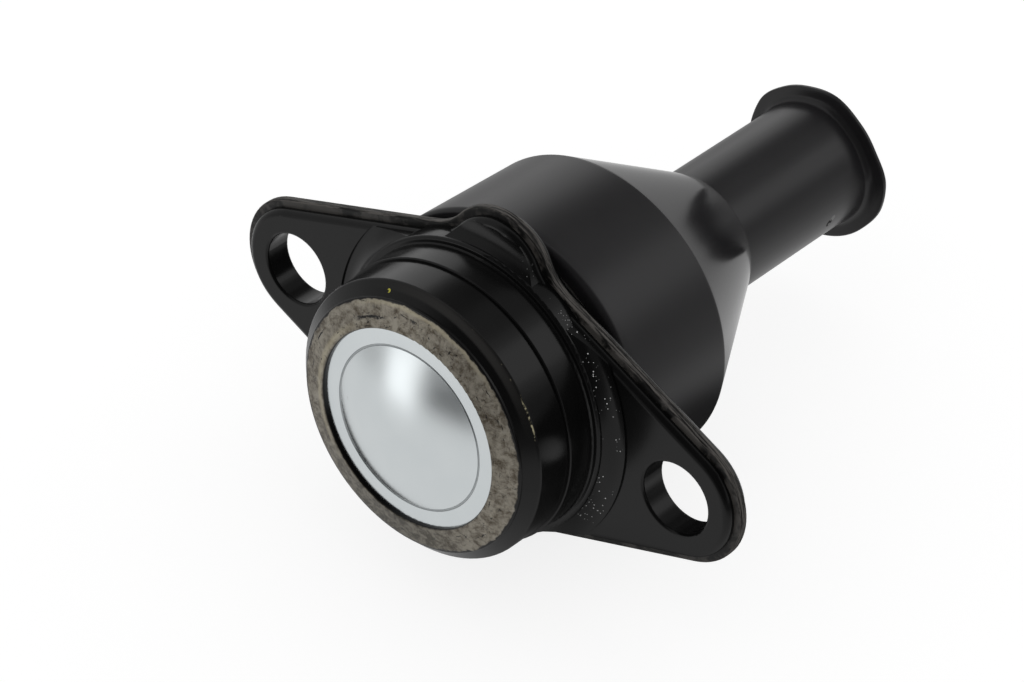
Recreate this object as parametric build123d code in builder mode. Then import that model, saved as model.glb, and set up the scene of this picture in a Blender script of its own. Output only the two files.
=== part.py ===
"""Flanged suspension ball joint with dust boot and transport sleeve.

Sizes are in millimetres. The origin is at the crown of the cover's dome, the lowest point of the
joint. +Z runs along the stud, away from the cover, and +X through the two bolt holes.
Every round piece is revolved from its half section, given as (radius, height).
"""

import math
import os

from build123d import *

os.makedirs("parts", exist_ok=True)

# Ball, neck and swing
BALL_R = 15.5
BALL_GAP = 0.05
BALL_FLAT_R = 5.0
NECK_R = 7.0
NECK_FILLET = 1.5
NECK_CLEAR = 0.7
SWING_DEG = 20.0

# Bearing shell
SHELL_WALL = 1.95
SHELL_GAP = 0.1
SHELL_FLOOR = 1.8
SHELL_HOLE_R = 4.0
SHELL_TOP_CLEAR_DEG = 1.5
SHELL_SLOTS = 6
SHELL_SLOT_W = 1.6
SHELL_SLOT_DEPTH = 12.0

# Cover plate under the rolled rim
COVER_T = 2.6
COVER_RECESS = 0.7
COVER_SEAT = 1.1
COVER_GAP = 0.05
DOME_R = 14.65
DOME_RISE = 2.6
DOME_GROOVE_R = 0.2
LIP_OVERLAP = 0.75
LIP_ROUND = 0.35

# Housing, from the rim to the flange
HOUSING_WALL = 7.6
RIM_INSET = 2.2
RIM_SLOPE = 1.4
RIM_STEP = 0.5
CORNER_DROP = 2.3
CORNER_ROUND = 0.6
STEP_OUT = 0.5
REGISTER_LEN = 5.5
COLLAR_H = 2.3
COLLAR_OUT = 1.3
COLLAR_ROUND = 0.6
SKIRT_RISE = 0.2
SKIRT_OUT = 3.5

# Flange with two ears and a lobe on each long side
FLANGE_DROP = 2.25
FLANGE_T = 5.3
FLANGE_WAIST_OUT = 1.3
FLANGE_FRONT_ROUND = 1.2
FLANGE_REAR_ROUND = 1.5
FLASH_OUT = 1.4
FLASH_FROM = 1.5
FLASH_T = 1.6
FLASH_ROUND = 0.4
BOLT_SPACING = 82.0
BOLT_R = 6.5
BOLT_EDGE_ROUND = 0.5
EAR_WALL = 4.35
LOBE_R = 9.6
LOBE_REACH = 4.8
LOBE_BLEND = 12.0
GROOVE_W = 0.5
GROOVE_DEPTH = 0.35

# Housing behind the flange, where the boot's ring sits
MOUTH_GAP = 0.2
MOUTH_LIP = 3.4
BOOT_SEAT_WALL = 6.7
BOOT_SEAT_CHAMFER = 1.0

# Stud above the neck
NECK_TOP = 22.0
SHANK_LEN = 15.5
SHANK_IN = 1.2
SHOULDER_OUT = 1.2
SHOULDER_T = 4.0
SHOULDER_ROUND = 0.6
SEAT_OUT = 1.0
SEAT_LEN = 4.5
TAPER_R = 9.2
TAPER_LEN = 20.0
TAPER_PER_SIDE = 0.05
THREAD_STEP = 1.2
THREAD_LEN = 17.0
THREAD_CHAMFER = 1.0
RELIEF_DEPTH = 0.8
RELIEF_LEN = 2.5
HEX_FLATS = 6.0
HEX_DEPTH = 8.0

# Transport sleeve
SLEEVE_GAP = 0.1
SLEEVE_WALL = 1.5
SLEEVE_STAND = 0.3
SLEEVE_LEN = 48.2
FLARE_OUT = 3.0
FLARE_RIM = 0.9
SLEEVE_LEAD = 0.5

# Boot base ring
RING_FIT = 0.04
RING_STAND = 0.3
RING_WALL = 0.9
RING_TOP_DROP = 0.8
FOOT_OUT = 1.7
FOOT_T = 0.9
FOOT_LIFT = 1.3

# Dust boot
BOOT_STAND = 0.7
BOOT_GAP = 0.1
BOOT_LIP_WALL = 2.9
BOOT_WALL = 2.0
BOOT_WALL_LEN = 23.9
BOOT_DRAFT = 0.7
BOOT_CONE_WALL = 1.8
BOOT_NECK_GAP = 0.2
BOOT_NECK_START = 4.0
BOOT_NECK_LEN = 8.6
BOOT_MOUTH_WALL = 0.7
BOOT_BASE_ROUND = 1.0
BOOT_CREASE_ROUND = 1.2
BOOT_MOUTH_ROUND = 0.3

# Boot neck ring
NECK_RING_H = 2.2
NECK_RING_T = 1.4
NECK_RING_UP = 1.3
NECK_RING_GAP = 0.1
NECK_RING_FREE = 0.25
NECK_RING_ROUND = 0.4

# Distance within which two lengths count as the same when an edge is picked
SAME = 0.01

# Radii that follow
SOCKET_R = BALL_R + BALL_GAP
SHELL_R = SOCKET_R + SHELL_WALL
CAVITY_R = SHELL_R + SHELL_GAP
COVER_R = CAVITY_R + COVER_SEAT
LIP_R = COVER_R - LIP_OVERLAP
SPIGOT_R = CAVITY_R + HOUSING_WALL
RIM_R = SPIGOT_R - RIM_INSET
REGISTER_R = SPIGOT_R + STEP_OUT
COLLAR_R = REGISTER_R + COLLAR_OUT
SKIRT_R = COLLAR_R + SKIRT_OUT
WAIST_Y = COLLAR_R + FLANGE_WAIST_OUT
LOBE_Y = COLLAR_R + LOBE_REACH - LOBE_R
EAR_R = BOLT_R + EAR_WALL
BOOT_SEAT_R = CAVITY_R + BOOT_SEAT_WALL
SEAT_R = TAPER_R + SEAT_OUT
SHOULDER_R = SEAT_R + SHOULDER_OUT
SHANK_TOP_R = SEAT_R - SHANK_IN
TAPER_END_R = TAPER_R - TAPER_PER_SIDE * TAPER_LEN
THREAD_R = TAPER_END_R - THREAD_STEP
RELIEF_R = THREAD_R - RELIEF_DEPTH

# The stud leans by FULL_TILT when it is at both swing limits at once, and NECK_FOOT_DEG is the
# angle off its axis at which the ball ends and the fillet under the neck begins
FULL_TILT = math.acos(math.cos(math.radians(SWING_DEG)) ** 2)
NECK_FOOT_DEG = math.degrees(math.asin((NECK_R + NECK_FILLET) / (BALL_R + NECK_FILLET)))
NECK_FOOT_LEN = math.sqrt((BALL_R + NECK_FILLET) ** 2 - (NECK_R + NECK_FILLET) ** 2)
SHELL_TOP_DEG = 90 - math.degrees(FULL_TILT) - NECK_FOOT_DEG - SHELL_TOP_CLEAR_DEG

# Heights that follow
COVER_Z = DOME_RISE
LIP_Z = COVER_Z - COVER_RECESS
RIM_Z = LIP_Z + RIM_SLOPE
CORNER_Z = RIM_Z + CORNER_DROP
COVER_TOP_Z = COVER_Z + COVER_T
BALL_Z = COVER_TOP_Z + SHELL_FLOOR + SOCKET_R
SHELL_TOP_H = BALL_R * math.sin(math.radians(SHELL_TOP_DEG))
MOUTH_H = SHELL_TOP_H + MOUTH_GAP
HOUSING_TOP_Z = BALL_Z + MOUTH_H + MOUTH_LIP
FLANGE_Z = BALL_Z - FLANGE_DROP
FLANGE_REAR_Z = FLANGE_Z + FLANGE_T
COLLAR_Z = FLANGE_Z - COLLAR_H
STEP_Z = COLLAR_Z - REGISTER_LEN
SHOULDER_Z = BALL_Z + NECK_TOP + SHANK_LEN
SEAT_Z = SHOULDER_Z + SHOULDER_T
TAPER_Z = SEAT_Z + SEAT_LEN
RELIEF_Z = TAPER_Z + TAPER_LEN
THREAD_Z = RELIEF_Z + RELIEF_LEN
STUD_END_Z = THREAD_Z + THREAD_LEN
SLEEVE_Z = SEAT_Z + SLEEVE_STAND
SLEEVE_END_Z = SLEEVE_Z + SLEEVE_LEN
SLEEVE_BORE_R = SEAT_R + SLEEVE_GAP
SLEEVE_R = SLEEVE_BORE_R + SLEEVE_WALL


def mouth_radius(height):
    """Radius that clears the fully tilted neck at a height above the ball's centre."""
    foot_height = NECK_FOOT_LEN * math.cos(FULL_TILT) - NECK_R * math.sin(FULL_TILT)
    reach = NECK_R + NECK_CLEAR + max(height, foot_height) * math.sin(FULL_TILT)
    return reach / math.cos(FULL_TILT)


def corner(section, radius, height):
    """The vertex of a half section at this radius and height."""
    return section.vertices().sort_by_distance((radius, height, 0))[0]


# Outline of the flange: ears joined by tangent lines that peak at the waist, then the two lobes
with BuildSketch() as flange_outline:
    with GridLocations(BOLT_SPACING, 0, 2, 1):
        Circle(EAR_R)
    with BuildLine():
        Line((0, -WAIST_Y), (0, WAIST_Y))
    make_hull()
    with GridLocations(0, 2 * LOBE_Y, 1, 2):
        Circle(LOBE_R)
    inner_corners = [
        v
        for v in flange_outline.vertices()
        if abs(math.hypot(v.X, abs(v.Y) - LOBE_Y) - LOBE_R) < SAME
    ]
    fillet(inner_corners, LOBE_BLEND)

with BuildPart() as flange:
    with BuildSketch(Plane.XY.offset(FLANGE_Z)):
        add(flange_outline.sketch)
    extrude(amount=FLANGE_T)
    fillet(flange.faces().sort_by(Axis.Z)[0].edges(), FLANGE_FRONT_ROUND)
    fillet(flange.faces().sort_by(Axis.Z)[-1].edges(), FLANGE_REAR_ROUND)
    # Bolt holes with eased edges
    with Locations(Plane.XY.offset(FLANGE_REAR_Z)):
        with GridLocations(BOLT_SPACING, 0, 2, 1):
            Hole(BOLT_R, depth=FLANGE_T)
    hole_edges = [
        e
        for e in flange.edges().filter_by(GeomType.CIRCLE)
        if abs(e.radius - BOLT_R) < SAME and abs(e.arc_center.X) > EAR_R
    ]
    fillet(hole_edges, BOLT_EDGE_ROUND)

# Band of trimmed flash that stands out round the flange's edge, along the forging's parting line
with BuildPart() as flash_band:
    with BuildSketch(Plane.XY.offset(FLANGE_Z + FLASH_FROM)):
        add(flange_outline.sketch)
        offset(amount=FLASH_OUT)
    extrude(amount=FLASH_T)
    fillet(flash_band.faces().sort_by(Axis.Z)[0].edges(), FLASH_ROUND)
    fillet(flash_band.faces().sort_by(Axis.Z)[-1].edges(), FLASH_ROUND)
    with BuildSketch(Plane.XY.offset(FLANGE_Z)):
        with GridLocations(BOLT_SPACING, 0, 2, 1):
            Circle(BOLT_R + BOLT_EDGE_ROUND)
    extrude(amount=FLANGE_T, mode=Mode.SUBTRACT)

# Curved skirt from the collar out to the flange face, trimmed by the flange's outline
with BuildPart() as skirt:
    with BuildSketch(Plane.XZ):
        with BuildLine():
            face_edge = (SKIRT_R, FLANGE_Z)
            collar_edge = (COLLAR_R, COLLAR_Z + COLLAR_ROUND + SKIRT_RISE)
            TangentArc(face_edge, collar_edge, tangent=(-1, 0))
            Polyline(
                collar_edge,
                (RIM_R, COLLAR_Z + COLLAR_ROUND + SKIRT_RISE),
                (RIM_R, FLANGE_Z + FLANGE_T / 2),
                (SKIRT_R, FLANGE_Z + FLANGE_T / 2),
                face_edge,
            )
        make_face()
    revolve(axis=Axis.Z)
    with BuildSketch(Plane.XY):
        add(flange_outline.sketch)
        offset(amount=-GROOVE_DEPTH, mode=Mode.REPLACE)
    extrude(amount=FLANGE_REAR_Z, mode=Mode.INTERSECT)

with BuildPart() as socket_housing:
    # Stepped body, solid at first
    with BuildSketch(Plane.XZ) as body_section:
        with BuildLine():
            Polyline(
                (0, LIP_Z),
                (LIP_R + LIP_ROUND, LIP_Z),
                (RIM_R, RIM_Z),
                (RIM_R, RIM_Z + RIM_STEP),
                (SPIGOT_R, CORNER_Z),
                (SPIGOT_R, STEP_Z),
                (REGISTER_R, STEP_Z),
                (REGISTER_R, COLLAR_Z),
                (COLLAR_R, COLLAR_Z),
                (COLLAR_R, FLANGE_Z + FLANGE_T / 2),
                (BOOT_SEAT_R, FLANGE_Z + FLANGE_T / 2),
                (BOOT_SEAT_R, HOUSING_TOP_Z),
                (0, HOUSING_TOP_Z),
                close=True,
            )
        make_face()
        fillet(corner(body_section, RIM_R, RIM_Z), RIM_STEP / 2)
        fillet(corner(body_section, SPIGOT_R, CORNER_Z), CORNER_ROUND)
        fillet(corner(body_section, REGISTER_R, STEP_Z), STEP_OUT / 2)
        fillet(corner(body_section, COLLAR_R, COLLAR_Z), COLLAR_ROUND)
        fillet(corner(body_section, REGISTER_R, COLLAR_Z), COLLAR_ROUND / 2)
        chamfer(corner(body_section, BOOT_SEAT_R, HOUSING_TOP_Z), BOOT_SEAT_CHAMFER)
    revolve(axis=Axis.Z)
    add(skirt.part)
    add(flange.part)
    add(flash_band.part)

    # Shallow groove across each ear, just outside the skirt
    with BuildSketch(Plane.XY.offset(FLANGE_Z)):
        Circle(SKIRT_R + GROOVE_W)
        Circle(SKIRT_R, mode=Mode.SUBTRACT)
        Rectangle(2 * LOBE_BLEND + LOBE_R, 2 * BOLT_SPACING, mode=Mode.SUBTRACT)
    extrude(amount=GROOVE_DEPTH, mode=Mode.SUBTRACT)

    # Ball cavity, from the cover's seat up to the mouth
    with BuildSketch(Plane.XZ) as cavity_section:
        with BuildLine():
            roof = CenterArc(
                (0, BALL_Z), CAVITY_R, 0, math.degrees(math.asin(MOUTH_H / CAVITY_R))
            )
            lip_round = TangentArc(
                (LIP_R, LIP_Z + LIP_ROUND), (LIP_R + LIP_ROUND, LIP_Z), tangent=(0, -1)
            )
            Polyline(
                roof @ 1,
                (mouth_radius(MOUTH_H), BALL_Z + MOUTH_H),
                (mouth_radius(MOUTH_H + MOUTH_LIP), HOUSING_TOP_Z),
                (0, HOUSING_TOP_Z),
                (0, LIP_Z),
                lip_round @ 1,
            )
            Polyline(
                lip_round @ 0,
                (LIP_R, COVER_Z),
                (COVER_R + COVER_GAP, COVER_Z),
                (COVER_R + COVER_GAP, COVER_TOP_Z),
                (CAVITY_R, COVER_TOP_Z),
                roof @ 0,
            )
        make_face()
    revolve(axis=Axis.Z, mode=Mode.SUBTRACT)

with BuildPart() as cover_plate:
    with BuildSketch(Plane.XZ):
        with BuildLine():
            crown = (0, COVER_Z - DOME_RISE)
            inner_crown = (0, COVER_TOP_Z - DOME_RISE)
            TangentArc(crown, (DOME_R, COVER_Z), tangent=(1, 0))
            TangentArc(inner_crown, (DOME_R, COVER_TOP_Z), tangent=(1, 0))
            Line(crown, inner_crown)
            Polyline(
                (DOME_R, COVER_TOP_Z),
                (COVER_R, COVER_TOP_Z),
                (COVER_R, COVER_Z),
                (DOME_R, COVER_Z),
            )
        make_face()
        # Fine groove around the dome
        with Locations((DOME_R + DOME_GROOVE_R, COVER_Z)):
            Circle(DOME_GROOVE_R, mode=Mode.SUBTRACT)
    revolve(axis=Axis.Z)

with BuildPart() as bearing_shell:
    with BuildSketch(Plane.XZ):
        with BuildLine():
            back = CenterArc(
                (0, BALL_Z), SHELL_R, 0, math.degrees(math.asin(SHELL_TOP_H / SHELL_R))
            )
            floor_angle = -math.degrees(math.acos(SHELL_HOLE_R / SOCKET_R))
            top_angle = math.degrees(math.asin(SHELL_TOP_H / SOCKET_R))
            socket = CenterArc((0, BALL_Z), SOCKET_R, floor_angle, top_angle - floor_angle)
            Line(back @ 1, socket @ 1)
            Polyline(
                socket @ 0,
                (SHELL_HOLE_R, COVER_TOP_Z),
                (SHELL_R, COVER_TOP_Z),
                back @ 0,
            )
        make_face()
    revolve(axis=Axis.Z)
    # Slots from the top rim, which let the shell snap over the ball
    with BuildSketch(Plane.XY.offset(BALL_Z + SHELL_TOP_H)):
        with PolarLocations((SOCKET_R + SHELL_R) / 2, SHELL_SLOTS):
            Rectangle(BALL_R, SHELL_SLOT_W)
    extrude(amount=-SHELL_SLOT_DEPTH, mode=Mode.SUBTRACT)

with BuildPart() as ball_stud:
    with BuildSketch(Plane.XZ) as stud_section:
        with BuildLine():
            flat_angle = -math.degrees(math.acos(BALL_FLAT_R / BALL_R))
            neck_angle = math.degrees(math.acos(NECK_R / BALL_R))
            ball = CenterArc((0, BALL_Z), BALL_R, flat_angle, neck_angle - flat_angle)
            Polyline(
                ball @ 1,
                (NECK_R, BALL_Z + NECK_TOP),
                (SHANK_TOP_R, SHOULDER_Z),
                (SHOULDER_R, SHOULDER_Z),
                (SHOULDER_R, SEAT_Z),
                (SEAT_R, SEAT_Z),
                (SEAT_R, TAPER_Z),
                (TAPER_R, TAPER_Z),
                (TAPER_END_R, RELIEF_Z),
                (RELIEF_R, RELIEF_Z),
                (RELIEF_R, THREAD_Z),
                (THREAD_R, THREAD_Z),
                (THREAD_R, STUD_END_Z),
                (0, STUD_END_Z),
                (0, (ball @ 0).Y),
                ball @ 0,
            )
        make_face()
        fillet(corner(stud_section, NECK_R, (ball @ 1).Y), NECK_FILLET)
        fillet(corner(stud_section, SHOULDER_R, SHOULDER_Z), SHOULDER_ROUND)
        fillet(corner(stud_section, SHOULDER_R, SEAT_Z), SHOULDER_ROUND)
        fillet(corner(stud_section, SHANK_TOP_R, SHOULDER_Z), SHOULDER_ROUND)
        chamfer(corner(stud_section, THREAD_R, THREAD_Z), 0.75 * RELIEF_DEPTH)
        chamfer(corner(stud_section, THREAD_R, STUD_END_Z), THREAD_CHAMFER)
    revolve(axis=Axis.Z)
    # Hex socket for holding the stud while its nut is turned
    with BuildSketch(Plane.XY.offset(STUD_END_Z)):
        RegularPolygon(HEX_FLATS / 2, 6, major_radius=False)
    extrude(amount=-HEX_DEPTH, mode=Mode.SUBTRACT)

# The boot's base ring stands on the housing, just behind the flange
RING_Z = FLANGE_REAR_Z + RING_STAND
RING_TOP_Z = HOUSING_TOP_Z - RING_TOP_DROP
RING_IN_R = BOOT_SEAT_R + RING_FIT
RING_R = RING_IN_R + RING_WALL
FOOT_R = RING_R + FOOT_OUT
FOOT_Z = RING_Z + FOOT_LIFT

with BuildPart() as boot_base_ring:
    with BuildSketch(Plane.XZ):
        with BuildLine():
            Polyline(
                (RING_IN_R, RING_Z),
                (RING_R, RING_Z),
                (RING_R, FOOT_Z),
                (FOOT_R, FOOT_Z),
                (FOOT_R, FOOT_Z + FOOT_T),
                (RING_R, FOOT_Z + FOOT_T),
                (RING_R, RING_TOP_Z),
                (RING_IN_R, RING_TOP_Z),
                close=True,
            )
        make_face()
    revolve(axis=Axis.Z)

# The boot grips the base ring's foot at one end and the sleeve at the other
BOOT_Z = FLANGE_REAR_Z + BOOT_STAND
BOOT_IN_R = RING_R + BOOT_GAP
BOOT_R = BOOT_IN_R + BOOT_LIP_WALL
CREASE_Z = BOOT_Z + BOOT_WALL_LEN
CREASE_R = BOOT_R - BOOT_DRAFT
BOOT_NECK_R = SLEEVE_R + BOOT_NECK_GAP
BOOT_NECK_Z = SLEEVE_Z + BOOT_NECK_START
MOUTH_Z = BOOT_NECK_Z + BOOT_NECK_LEN
MOUTH_R = BOOT_NECK_R + BOOT_MOUTH_WALL
CONE_SLOPE = (CREASE_R - MOUTH_R) / (MOUTH_Z - CREASE_Z)
CONE_WALL_ACROSS = BOOT_CONE_WALL * math.hypot(1, CONE_SLOPE)
WALL_IN_R = CREASE_R - BOOT_WALL
NECK_UNDER_R = MOUTH_R + CONE_SLOPE * (MOUTH_Z - BOOT_NECK_Z) - CONE_WALL_ACROSS
INNER_CREASE_Z = CREASE_Z + (CREASE_R - CONE_WALL_ACROSS - WALL_IN_R) / CONE_SLOPE
NECK_RING_Z = BOOT_NECK_Z + NECK_RING_UP
NECK_RING_IN_R = SLEEVE_R + NECK_RING_FREE
NECK_RING_R = NECK_RING_IN_R + NECK_RING_T

with BuildPart() as dust_boot:
    with BuildSketch(Plane.XZ) as boot_section:
        with BuildLine():
            Polyline(
                (BOOT_IN_R, BOOT_Z),
                (BOOT_R, BOOT_Z),
                (CREASE_R, CREASE_Z),
                (MOUTH_R, MOUTH_Z),
                (BOOT_NECK_R, MOUTH_Z),
                (BOOT_NECK_R, NECK_RING_Z + NECK_RING_H + NECK_RING_GAP),
                (NECK_RING_R + NECK_RING_GAP, NECK_RING_Z + NECK_RING_H + NECK_RING_GAP),
                (NECK_RING_R + NECK_RING_GAP, NECK_RING_Z - NECK_RING_GAP),
                (BOOT_NECK_R, NECK_RING_Z - NECK_RING_GAP),
                (BOOT_NECK_R, BOOT_NECK_Z),
                (NECK_UNDER_R, BOOT_NECK_Z),
                (WALL_IN_R, INNER_CREASE_Z),
                (WALL_IN_R, RING_TOP_Z + BOOT_WALL),
                (BOOT_IN_R, RING_TOP_Z),
                (BOOT_IN_R, FOOT_Z + FOOT_T + BOOT_GAP),
                (FOOT_R + BOOT_GAP, FOOT_Z + FOOT_T + BOOT_GAP),
                (FOOT_R + BOOT_GAP, FOOT_Z - BOOT_GAP),
                (BOOT_IN_R, FOOT_Z - BOOT_GAP),
                close=True,
            )
        make_face()
        fillet(corner(boot_section, BOOT_R, BOOT_Z), BOOT_BASE_ROUND)
        fillet(corner(boot_section, CREASE_R, CREASE_Z), BOOT_CREASE_ROUND)
        fillet(corner(boot_section, MOUTH_R, MOUTH_Z), BOOT_MOUTH_ROUND)
    revolve(axis=Axis.Z)

with BuildPart() as boot_neck_ring:
    with BuildSketch(Plane.XZ):
        with Locations((NECK_RING_IN_R + NECK_RING_T / 2, NECK_RING_Z + NECK_RING_H / 2)):
            RectangleRounded(NECK_RING_T, NECK_RING_H, NECK_RING_ROUND)
    revolve(axis=Axis.Z)

with BuildPart() as transport_sleeve:
    with BuildSketch(Plane.XZ) as sleeve_section:
        with BuildLine():
            flare_z = SLEEVE_END_Z - FLARE_RIM
            flare = CenterArc(
                (SLEEVE_R + FLARE_OUT, flare_z - FLARE_OUT), FLARE_OUT, 90, 90
            )
            Polyline(
                flare @ 1,
                (SLEEVE_R, SLEEVE_Z),
                (SLEEVE_BORE_R, SLEEVE_Z),
                (SLEEVE_BORE_R, SLEEVE_END_Z),
                (SLEEVE_R + FLARE_OUT, SLEEVE_END_Z),
                flare @ 0,
            )
        make_face()
        chamfer(corner(sleeve_section, SLEEVE_BORE_R, SLEEVE_Z), SLEEVE_LEAD)
        chamfer(corner(sleeve_section, SLEEVE_BORE_R, SLEEVE_END_Z), SLEEVE_LEAD)
    revolve(axis=Axis.Z)

PIECES = {
    "socket_housing": socket_housing,
    "cover_plate": cover_plate,
    "bearing_shell": bearing_shell,
    "ball_stud": ball_stud,
    "boot_base_ring": boot_base_ring,
    "dust_boot": dust_boot,
    "boot_neck_ring": boot_neck_ring,
    "transport_sleeve": transport_sleeve,
}
for name, piece in PIECES.items():
    piece.part.label = name
    export_step(piece.part, f"parts/{name}.step")
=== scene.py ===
"""Dresses the suspension ball joint: its boot, threaded stud, finishes, lights and camera.

The named measures are in millimetres, and Blender's lengths are in metres. +Z runs along the
stud, away from the cover, and +X through the two bolt holes.
"""

import math

import bpy
from mathutils import Matrix, Vector


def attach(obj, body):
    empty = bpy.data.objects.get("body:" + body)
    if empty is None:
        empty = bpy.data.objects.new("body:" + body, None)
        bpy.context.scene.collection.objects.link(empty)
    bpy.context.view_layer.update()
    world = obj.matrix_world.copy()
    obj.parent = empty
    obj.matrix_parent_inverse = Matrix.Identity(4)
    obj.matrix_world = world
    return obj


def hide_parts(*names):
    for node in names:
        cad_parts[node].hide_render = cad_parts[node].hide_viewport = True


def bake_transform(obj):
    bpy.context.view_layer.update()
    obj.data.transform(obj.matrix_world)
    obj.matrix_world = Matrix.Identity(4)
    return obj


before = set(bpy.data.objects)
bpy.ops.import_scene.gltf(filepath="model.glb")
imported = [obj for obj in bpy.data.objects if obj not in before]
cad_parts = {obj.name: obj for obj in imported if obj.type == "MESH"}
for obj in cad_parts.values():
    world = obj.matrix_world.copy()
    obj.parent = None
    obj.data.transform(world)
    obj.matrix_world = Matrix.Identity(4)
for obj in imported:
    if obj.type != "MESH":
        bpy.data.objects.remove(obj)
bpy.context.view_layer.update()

MM = 0.001

# Measures of the solids that the dressed pieces follow, in millimetres
RIM_R = 23.0
LIP_R = 17.95
RIM_Z = 3.3
CORNER_R = 25.2
CORNER_Z = 5.6
COLLAR_R = 27.0
SKIRT_R = 30.5
FLANGE_Z = 20.3
FLASH_Z = 21.8
FLASH_REAR_Z = 23.4
EAR_X = 41.0
BOLT_R = 6.5
DOME_R = 14.65
DOME_GROOVE_R = 0.2

BALL_R = 15.5
BALL_Z = 22.55
BALL_FLAT_R = 5.0
NECK_R = 7.0
NECK_LEN = 22.0
NECK_ROUND = 1.2
SHOULDER_R = 11.4
SHOULDER_Z = 60.05
SHOULDER_ROUND = 0.6
SHANK_INSET = 1.2
SEAT_R = 10.2
SEAT_Z = 64.05
TAPER_R = 9.2
TAPER_Z = 68.55
TAPER_DROP = 1.0
RELIEF_R = 6.2
RELIEF_Z = 88.55
THREAD_R = 7.0
THREAD_Z = 91.05
THREAD_PITCH = 1.5
THREAD_DEPTH = 0.85
THREAD_CHAMFER = 1.0
THREAD_SLACK = 0.02
STUD_END_Z = 108.05
HEX_FLATS = 6.0
HEX_DEPTH = 8.0

# How far below the thread's foot the shank stops and the threaded rod starts, which makes them
# overlap, and how far the rod is trimmed at the stud's end
SHANK_CUT = 0.3
ROD_CUT = 0.6
ROD_END_TRIM = 0.01

BOOT_Z = 26.3
BOOT_R = 28.24
BOOT_IN_R = 25.34
BOOT_WALL_IN_R = 25.54
BOOT_ROUND = 1.0
BOOT_SPLIT_Z = 49.2
BOOT_SPLIT_R = 27.569
CREASE_R = 27.54
CREASE_Z = 50.2
INNER_CREASE_Z = 50.095
MOUTH_R = 12.7
MOUTH_Z = 76.95
BOOT_NECK_R = 12.0
BOOT_NECK_Z = 68.35
BOOT_NECK_UNDER_R = 15.41
RING_TOP_Z = 33.22
RING_TAPER = 2.0

# Grooves for the two steel rings, each as (radius, lower and upper height)
FOOT_GROOVE = (27.04, 27.1, 28.2)
NECK_GROOVE = (13.55, 69.55, 71.95)

SLEEVE_Z = 64.35
SLEEVE_BORE_R = 10.3
SLEEVE_R = 11.8
SLEEVE_END_Z = 112.55
FLARE_R = 14.8
FLARE_BEND_R = 1.3
FLARE_RIM = 0.9
SLEEVE_CHAMFER = 0.5

EDGE_ROUND = 0.3

# How finely the pieces are cut up: steps round the axis, steps round a rounded corner, points on
# the ball, and the longest side of a section in millimetres
TURNED_STEPS = 180
STUD_STEPS = 96
THREAD_STEPS = 64
ROUND_STEPS = 6
BALL_STEPS = 40
BOOT_SIDE = 1.2
SLEEVE_SIDE = 1.0

# Points nearer than this are one, in millimetres, and edges sharper than this stay sharp
MERGE_MM = 0.002
SHARP_DEG = 30

# Pressing the sleeve's flare out of round, in millimetres: the depth of rim that is gripped, how
# far a push reaches, and the pushes as (direction in degrees, distance inwards)
PRESS_GRIP = 0.25
PRESS_REACH = 7.0
FLARE_PRESSES = [(-46.0, 0.55), (-118.0, 0.45), (180.0, 0.30), (0.0, -0.55)]


# Shaping

def deselect_all():
    """Nothing is selected, so that the next operator acts on the new piece alone."""
    if bpy.context.mode != "OBJECT":
        bpy.ops.object.mode_set(mode="OBJECT")
    bpy.ops.object.select_all(action="DESELECT")


def activate(piece):
    """Selects this piece alone and makes it the active one."""
    deselect_all()
    piece.select_set(True)
    bpy.context.view_layer.objects.active = piece


def rounded(points, rounds):
    """The points of a section with the corners named in rounds, {index: radius}, turned to arcs."""
    path = []
    for i, (radius, height) in enumerate(points):
        here = Vector((radius, height))
        if i not in rounds:
            path.append(here)
            continue
        before = (Vector(points[i - 1]) - here).normalized()
        after = (Vector(points[(i + 1) % len(points)]) - here).normalized()
        half = before.angle(after) / 2
        centre = here + (before + after).normalized() * rounds[i] / math.sin(half)
        start = here + before * rounds[i] / math.tan(half) - centre
        end = here + after * rounds[i] / math.tan(half) - centre
        arc = start.angle(end)
        side = (end - start * math.cos(arc)) / math.sin(arc)
        for step in range(ROUND_STEPS + 1):
            turn = arc * (step / ROUND_STEPS)
            path.append(centre + start * math.cos(turn) + side * math.sin(turn))
    return [(p[0], p[1]) for p in path]


def divided(points, longest):
    """A section's points with more points along any side that is longer than this."""
    path = []
    for i, start in enumerate(points):
        end = points[(i + 1) % len(points)]
        count = max(1, math.ceil(math.dist(start, end) / longest))
        for step in range(count):
            share = step / count
            radius = start[0] + (end[0] - start[0]) * share
            height = start[1] + (end[1] - start[1]) * share
            path.append((radius, height))
    return path


def draw_outline(name, points, close):
    """A new piece whose mesh is one line of edges through (radius, height) points on X and Z."""
    deselect_all()
    bpy.ops.mesh.primitive_plane_add(size=MM, location=(0, 0, 0))
    piece = bpy.context.active_object
    piece.name = name
    bpy.ops.object.mode_set(mode="EDIT")
    bpy.ops.mesh.select_all(action="SELECT")
    bpy.ops.mesh.merge(type="CENTER")
    here = Vector((points[0][0], 0, points[0][1])) * MM
    bpy.ops.transform.translate(value=here)
    for radius, height in points[1:]:
        there = Vector((radius, 0, height)) * MM
        bpy.ops.mesh.extrude_region_move(TRANSFORM_OT_translate={"value": there - here})
        here = there
    if close:
        bpy.ops.object.mode_set(mode="OBJECT")
        for v in piece.data.vertices:
            v.select = v.index in (0, len(piece.data.vertices) - 1)
        bpy.ops.object.mode_set(mode="EDIT")
        bpy.ops.mesh.select_mode(type="VERT")
        bpy.ops.mesh.edge_face_add()
        bpy.ops.mesh.select_all(action="SELECT")
    return piece


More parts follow.
